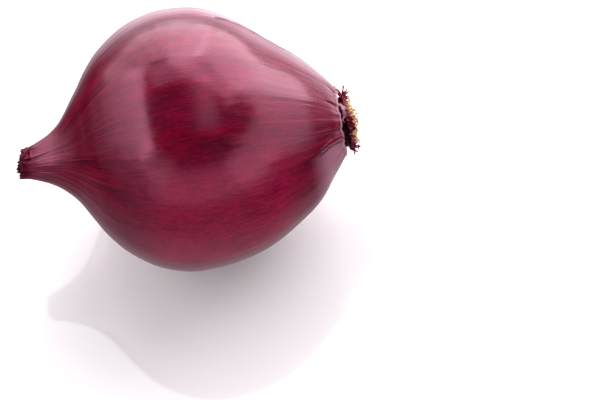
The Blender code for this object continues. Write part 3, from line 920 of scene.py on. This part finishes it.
def streaks(tree, place, along, around, detail=4.0, shift=0.0):
    """Noise drawn out along the onion: how many grains to a unit of length along it and around it."""
    stretch = {"Vector": place, "Location": (shift, shift, shift), "Scale": (along, around, around)}
    stretched = add_node(tree, "Mapping", stretch).outputs[0]
    noise = {"Vector": stretched, "Scale": 1.0, "Detail": detail, "Roughness": 0.6}
    return add_node(tree, "TexNoise", noise).outputs[0]


def spread(tree, value, low, high, to_low=0.0, to_high=1.0):
    """The value, stretched from one range to another and held inside it."""
    made = add_node(tree, "MapRange", {0: value, 1: low, 2: high, 3: to_low, 4: to_high})
    return made.outputs[0]


def maths(tree, operation, a, b):
    return add_node(tree, "Math", {0: a, 1: b}, operation=operation).outputs[0]


def aligned_with(tree, vector, way):
    """The dot product of a vector with a fixed one."""
    made = add_node(tree, "VectorMath", {0: vector, 1: way}, operation="DOT_PRODUCT")
    return made.outputs["Value"]


def mix_colours(tree, factor, a, b, blend="MIX"):
    made = add_node(tree, "Mix", {0: factor, 6: a, 7: b}, data_type="RGBA", blend_type=blend)
    return made.outputs[2]


def tinted(tree, colour, tint, share, strength):
    """The colour, drawn to the tint by the product of share and strength."""
    return mix_colours(tree, maths(tree, "MULTIPLY", share, strength), colour, tint)


def new_material(name, roughness, tint=(1.0, 1.0, 1.0, 1.0)):
    made = bpy.data.materials.new(name)
    made.use_nodes = True
    shader = made.node_tree.nodes["Principled BSDF"]
    shader.inputs["Roughness"].default_value = roughness
    shader.inputs["Specular Tint"].default_value = tint
    return made, made.node_tree, shader


def bump(tree, shader, height, distance, strength):
    made = add_node(tree, "Bump", {"Height": height, "Strength": strength, "Distance": distance})
    tree.links.new(made.outputs["Normal"], shader.inputs["Normal"])


def skin_colour(tree, place, middle, fine, grain):
    """The skin's own red-purple, streaked and blotched from neck to root."""
    broad = spread(tree, streaks(tree, place, *BROAD_STREAKS), 0.35, 0.65)
    colour = mix_colours(tree, broad, SKIN_DEEP, SKIN_RED)
    colour = tinted(tree, colour, SKIN_MAUVE, middle, 0.55)
    colour = tinted(tree, colour, SKIN_BLUSH, blush(tree, place), 0.75)
    blotches = spread(tree, streaks(tree, place, *BLOTCH_STREAKS), 0.3, 0.7, 0.84, 1.18)
    dark = maths(tree, "MULTIPLY", grain, blotches)
    dark = maths(tree, "MULTIPLY", spread(tree, fine, 0.0, 1.0, 0.73, 1.23), dark)
    colour = mix_colours(tree, 1.0, colour, dark, "MULTIPLY")
    flecks = spread(tree, streaks(tree, place, *FLECK_STREAKS), 0.62, 0.78, 0.0, 0.35)
    colour = mix_colours(tree, flecks, colour, SKIN_FLECK)
    return mix_colours(tree, end_lines(tree, place), colour, SKIN_LINE)


def marked_colour(tree, place, colour):
    """The skin's colour, changed below the tears (partly painted reflection), under painted shade, inside, at
    the neck's tip and rim.
    """
    # Below the tears: the bare layer's paler colour, partly a painted reflection.
    colour = tinted(tree, colour, SKIN_UNDER_AND_REFLECTION, attribute(tree, "under"), 0.7)
    # Painted shade beside the tears, in the neck's hollow and along the first lip's edge.
    colour = tinted(tree, colour, SKIN_SHADE, attribute(tree, "shaded"), 0.95)
    # Painted shade, nearly black, inside the neck's end and the rim.
    colour = tinted(tree, colour, SKIN_INSIDE_SHADE, attribute(tree, "inside"), 0.97)
    patches = spread(tree, streaks(tree, place, *TIP_STREAKS), 0.35, 0.6, 0.25, 1.0)
    colour = tinted(tree, colour, SKIN_TIP, attribute(tree, "tip"), patches)
    # Paler at the skin's rim; on the lips the rim mark is a painted highlight along one free edge.
    return tinted(tree, colour, SKIN_PALE_RIM_AND_HIGHLIGHT, attribute(tree, "rim"), 0.7)


def skin_material():
    """Glossy dry skin, dull at the neck's tip, and darkened and dull with painted shade inside, beside the
    tears and in the neck's hollow.
    """
    made, tree, shader = new_material("onion_skin", 0.3, SKIN_TINT)
    place = attribute(tree, "place", "Vector")
    middle = spread(tree, streaks(tree, place, *MIDDLE_STREAKS), 0.35, 0.65)
    fine = spread(tree, streaks(tree, place, *FINE_STREAKS), 0.32, 0.68)
    grain = spread(tree, streaks(tree, place, *GRAIN_STREAKS), 0.3, 0.7, 0.72, 1.3)
    colour = skin_colour(tree, place, middle, fine, grain)
    tree.links.new(marked_colour(tree, place, colour), shader.inputs["Base Color"])
    # Where painted shade lies, and at the neck's tip, the skin loses its gloss.
    dull = attribute(tree, "inside")
    for name in ("shaded", "tip"):
        dull = maths(tree, "MAXIMUM", dull, maths(tree, "MULTIPLY", attribute(tree, name), 0.85))
    tree.links.new(spread(tree, dull, 0.0, 1.0, 0.65, 0.04), shader.inputs["Specular IOR Level"])
    rough = spread(tree, maths(tree, "ADD", middle, fine), 0.3, 1.7, 0.16, 0.25)
    tree.links.new(rough, shader.inputs["Roughness"])
    height = maths(tree, "ADD", maths(tree, "MULTIPLY", fine, 0.45), middle)
    height = maths(tree, "ADD", maths(tree, "MULTIPLY", grain, 0.5), height)
    bump(tree, shader, height, 0.00012, 0.11)
    return made


def blush(tree, place):
    """Where the skin is a brighter red: a broad patch along the lower side that faces the camera."""
    way = (0.0, cos(BLUSH_ANGLE), sin(BLUSH_ANGLE))
    across = spread(tree, aligned_with(tree, place, way), *BLUSH_ACROSS)
    x = add_node(tree, "SeparateXYZ", {0: place}).outputs[0]
    begun = spread(tree, x, *BLUSH_BEGINS)
    before_end = spread(tree, x, *BLUSH_ENDS, 1.0, 0.0)
    return maths(tree, "MULTIPLY", across, maths(tree, "MULTIPLY", begun, before_end))


def end_lines(tree, place):
    """Thin pale lines that run into the neck and into the root end."""
    along = add_node(tree, "SeparateXYZ", {0: place}).outputs[0]
    near_ends = spread(tree, maths(tree, "ABSOLUTE", along, 0.0), 0.4, 1.0)
    lines = spread(tree, streaks(tree, place, *LINE_STREAKS), 0.55, 0.68, 0.0, 0.5)
    return maths(tree, "MULTIPLY", lines, near_ends)


def neck_scale_material():
    """Dull dried leaf, dark at its torn end."""
    made, tree, shader = new_material("neck_scale", 0.5, LEAF_TINT)
    grain = streaks(tree, object_place(tree), *LEAF_STREAKS)
    colour = mix_colours(tree, spread(tree, grain, 0.4, 0.6), LEAF_DEEP, LEAF_RED)
    dark = spread(tree, attribute(tree, "mark"), 0.62, 0.9, 0.0, 0.93)
    colour = mix_colours(tree, dark, colour, LEAF_DARK)
    tree.links.new(colour, shader.inputs["Base Color"])
    shader.inputs["Specular IOR Level"].default_value = 0.2
    bump(tree, shader, grain, 0.0002, 0.6)
    return made


def collar_material():
    """Smooth mauve-pink dry scale, dark where it is marked: painted shade back in the skin's rim, and darker
    at its end.
    """
    made, tree, shader = new_material("inner_collar", 0.6, COLLAR_TINT)
    grain = streaks(tree, object_place(tree), *COLLAR_STREAKS)
    mark = attribute(tree, "mark")
    colour = mix_colours(tree, spread(tree, grain, 0.3, 0.7), COLLAR_MAUVE, COLLAR_PINK)
    # Painted shade of the recess, and the darker end.
    colour = mix_colours(tree, spread(tree, mark, 0.75, 1.0, 0.0, 0.97), colour, COLLAR_DARK)
    tree.links.new(colour, shader.inputs["Base Color"])
    tree.links.new(spread(tree, mark, 0.75, 1.0, 0.4, 0.05), shader.inputs["Specular IOR Level"])
    bump(tree, shader, grain, 0.0002, 0.5)
    return made


def flake_material():
    """Torn crimson scale ends, pink and mauve in places."""
    made, tree, shader = new_material("torn_scale", 0.5, FLAKE_TINT)
    place = object_place(tree)
    patches = streaks(tree, place, *FLAKE_PATCHES)
    grain = streaks(tree, place, *FLAKE_STREAKS)
    colour = mix_colours(tree, spread(tree, patches, 0.4, 0.62), FLAKE_DEEP, FLAKE_CRIMSON)
    colour = mix_colours(tree, spread(tree, grain, 0.52, 0.75, 0.0, 0.45), colour, FLAKE_PINK)
    tree.links.new(colour, shader.inputs["Base Color"])
    bump(tree, shader, grain, 0.00015, 0.6)
    return made


def root_material(name, pale, dark):
    """Dull dried fibre, from the pale colour to the dark one, with a painted highlight in places."""
    made, tree, shader = new_material(name, 0.6)
    place = object_place(tree)
    patches = streaks(tree, place, *ROOT_PATCHES)
    grain = streaks(tree, place, *ROOT_STREAKS)
    colour = mix_colours(tree, spread(tree, patches, 0.35, 0.65), pale, dark)
    # Painted highlight, as strong as each root's random mark.
    colour = tinted(tree, colour, ROOT_HIGHLIGHT, attribute(tree, "mark"), 0.35)
    tree.links.new(colour, shader.inputs["Base Color"])
    bump(tree, shader, grain, 0.0001, 0.5)
    return made


def make_camera():
    """The camera, turned about its own axis as the photograph is, with the onion's middle at its pixel."""
    sine, cosine = sin(VIEW_AZIMUTH), cos(VIEW_AZIMUTH)
    level = cos(VIEW_ELEVATION)
    back = Vector((sine * level, -cosine * level, sin(VIEW_ELEVATION)))
    right = Vector((cosine, sine, 0))
    up = back.cross(right)
    across = cos(VIEW_ROLL) * right - sin(VIEW_ROLL) * up
    upright = sin(VIEW_ROLL) * right + cos(VIEW_ROLL) * up
    distance = FOCAL_PIXELS * MM_PER_PIXEL * MM
    off_right = (AXIS_MIDDLE_PIXEL[0] - IMAGE_WIDTH / 2) / FOCAL_PIXELS
    off_down = (AXIS_MIDDLE_PIXEL[1] - IMAGE_HEIGHT / 2) / FOCAL_PIXELS
    data = bpy.data.cameras.new("camera")
    data.sensor_width = SENSOR
    data.lens = SENSOR * FOCAL_PIXELS / IMAGE_WIDTH
    data.clip_end = CLIP_END
    made = new_object("camera", data)
    place = AXIS_MIDDLE + distance * (back - off_right * across + off_down * upright)
    made.matrix_world = Matrix.Translation(place) @ Matrix((across, upright, back)).transposed().to_4x4()
    bpy.context.scene.camera = made


def make_floor():
    """A plain pale glossy floor. The onion doesn't mirror it, but the lower half of the surround."""
    made, tree, shader = new_material("floor", FLOOR_ROUGHNESS)
    shader.inputs["Base Color"].default_value = FLOOR_COLOUR
    shader.inputs["Specular IOR Level"].default_value = FLOOR_SPECULAR
    mesh = bpy.data.meshes.new("floor")
    corners = [(x * FLOOR_HALF, y * FLOOR_HALF, 0) for x, y in ((-1, -1), (1, -1), (1, 1), (-1, 1))]
    mesh.from_pydata(corners, [], [(0, 1, 2, 3)])
    mesh.materials.append(made)
    floor = new_object("floor", mesh)
    floor.visible_glossy = False


def way_to(azimuth, elevation):
    """The unit vector that points so many degrees from +Y towards +X and above the floor."""
    turn, rise = radians(azimuth), radians(elevation)
    return Vector((sin(turn) * cos(rise), cos(turn) * cos(rise), sin(rise)))


def reach_of(angle):
    """How wide something at the panels' distance is to fill so many degrees, seen from the onion."""
    return 2 * PANEL_DISTANCE * tan(radians(angle / 2))


def panel(name, azimuth, elevation, wide_angle, tall_angle, radiance):
    """A soft white panel that faces the onion, as wide and tall as the given angles in degrees."""
    away = way_to(azimuth, elevation)
    across = Vector((away.y, -away.x, 0)).normalized()
    upright = away.cross(across)
    width, height = reach_of(wide_angle), reach_of(tall_angle)
    data = bpy.data.lights.new(name, "AREA")
    data.shape = "RECTANGLE"
    data.size, data.size_y = width, height
    data.energy = radiance * pi * width * height
    made = new_object(name, data)
    turn = Matrix((across, upright, away)).transposed().to_4x4()
    made.matrix_world = Matrix.Translation(AXIS_MIDDLE + PANEL_DISTANCE * away) @ turn
    made.visible_camera = False


def make_lights():
    """White panels round the onion, with a gap above it where the camera looks in, and a dim surround."""
    for settings in PANELS:
        panel(*settings)
    world = bpy.data.worlds.new("studio")
    bpy.context.scene.world = world
    world.use_nodes = True
    tree = world.node_tree
    way = add_node(tree, "TexCoord").outputs["Generated"]
    height = add_node(tree, "SeparateXYZ", {0: way}).outputs[2]
    above = spread(tree, height, *LIGHT_ABOVE)
    below = spread(tree, height, *LIGHT_BELOW)
    for azimuth, faded, full, radiance in LOW_GLOWS:
        aligned = aligned_with(tree, way, way_to(azimuth, GLOW_ELEVATION))
        below = maths(tree, "ADD", below, spread(tree, aligned, faded, full, 0.0, radiance))
    share_above = spread(tree, height, *HORIZON)
    light = add_node(tree, "Mix", {0: share_above, 2: below, 3: above}, data_type="FLOAT")
    background = tree.nodes["Background"]
    background.inputs["Color"].default_value = LIGHT_COLOUR
    tree.links.new(light.outputs[0], background.inputs["Strength"])


bpy.context.scene.view_settings.view_transform = "Standard"
make_camera()
make_floor()
make_lights()
make_skin()
make_lips()
make_neck_scales()
make_collar()
make_frill()
make_plate()
make_roots()
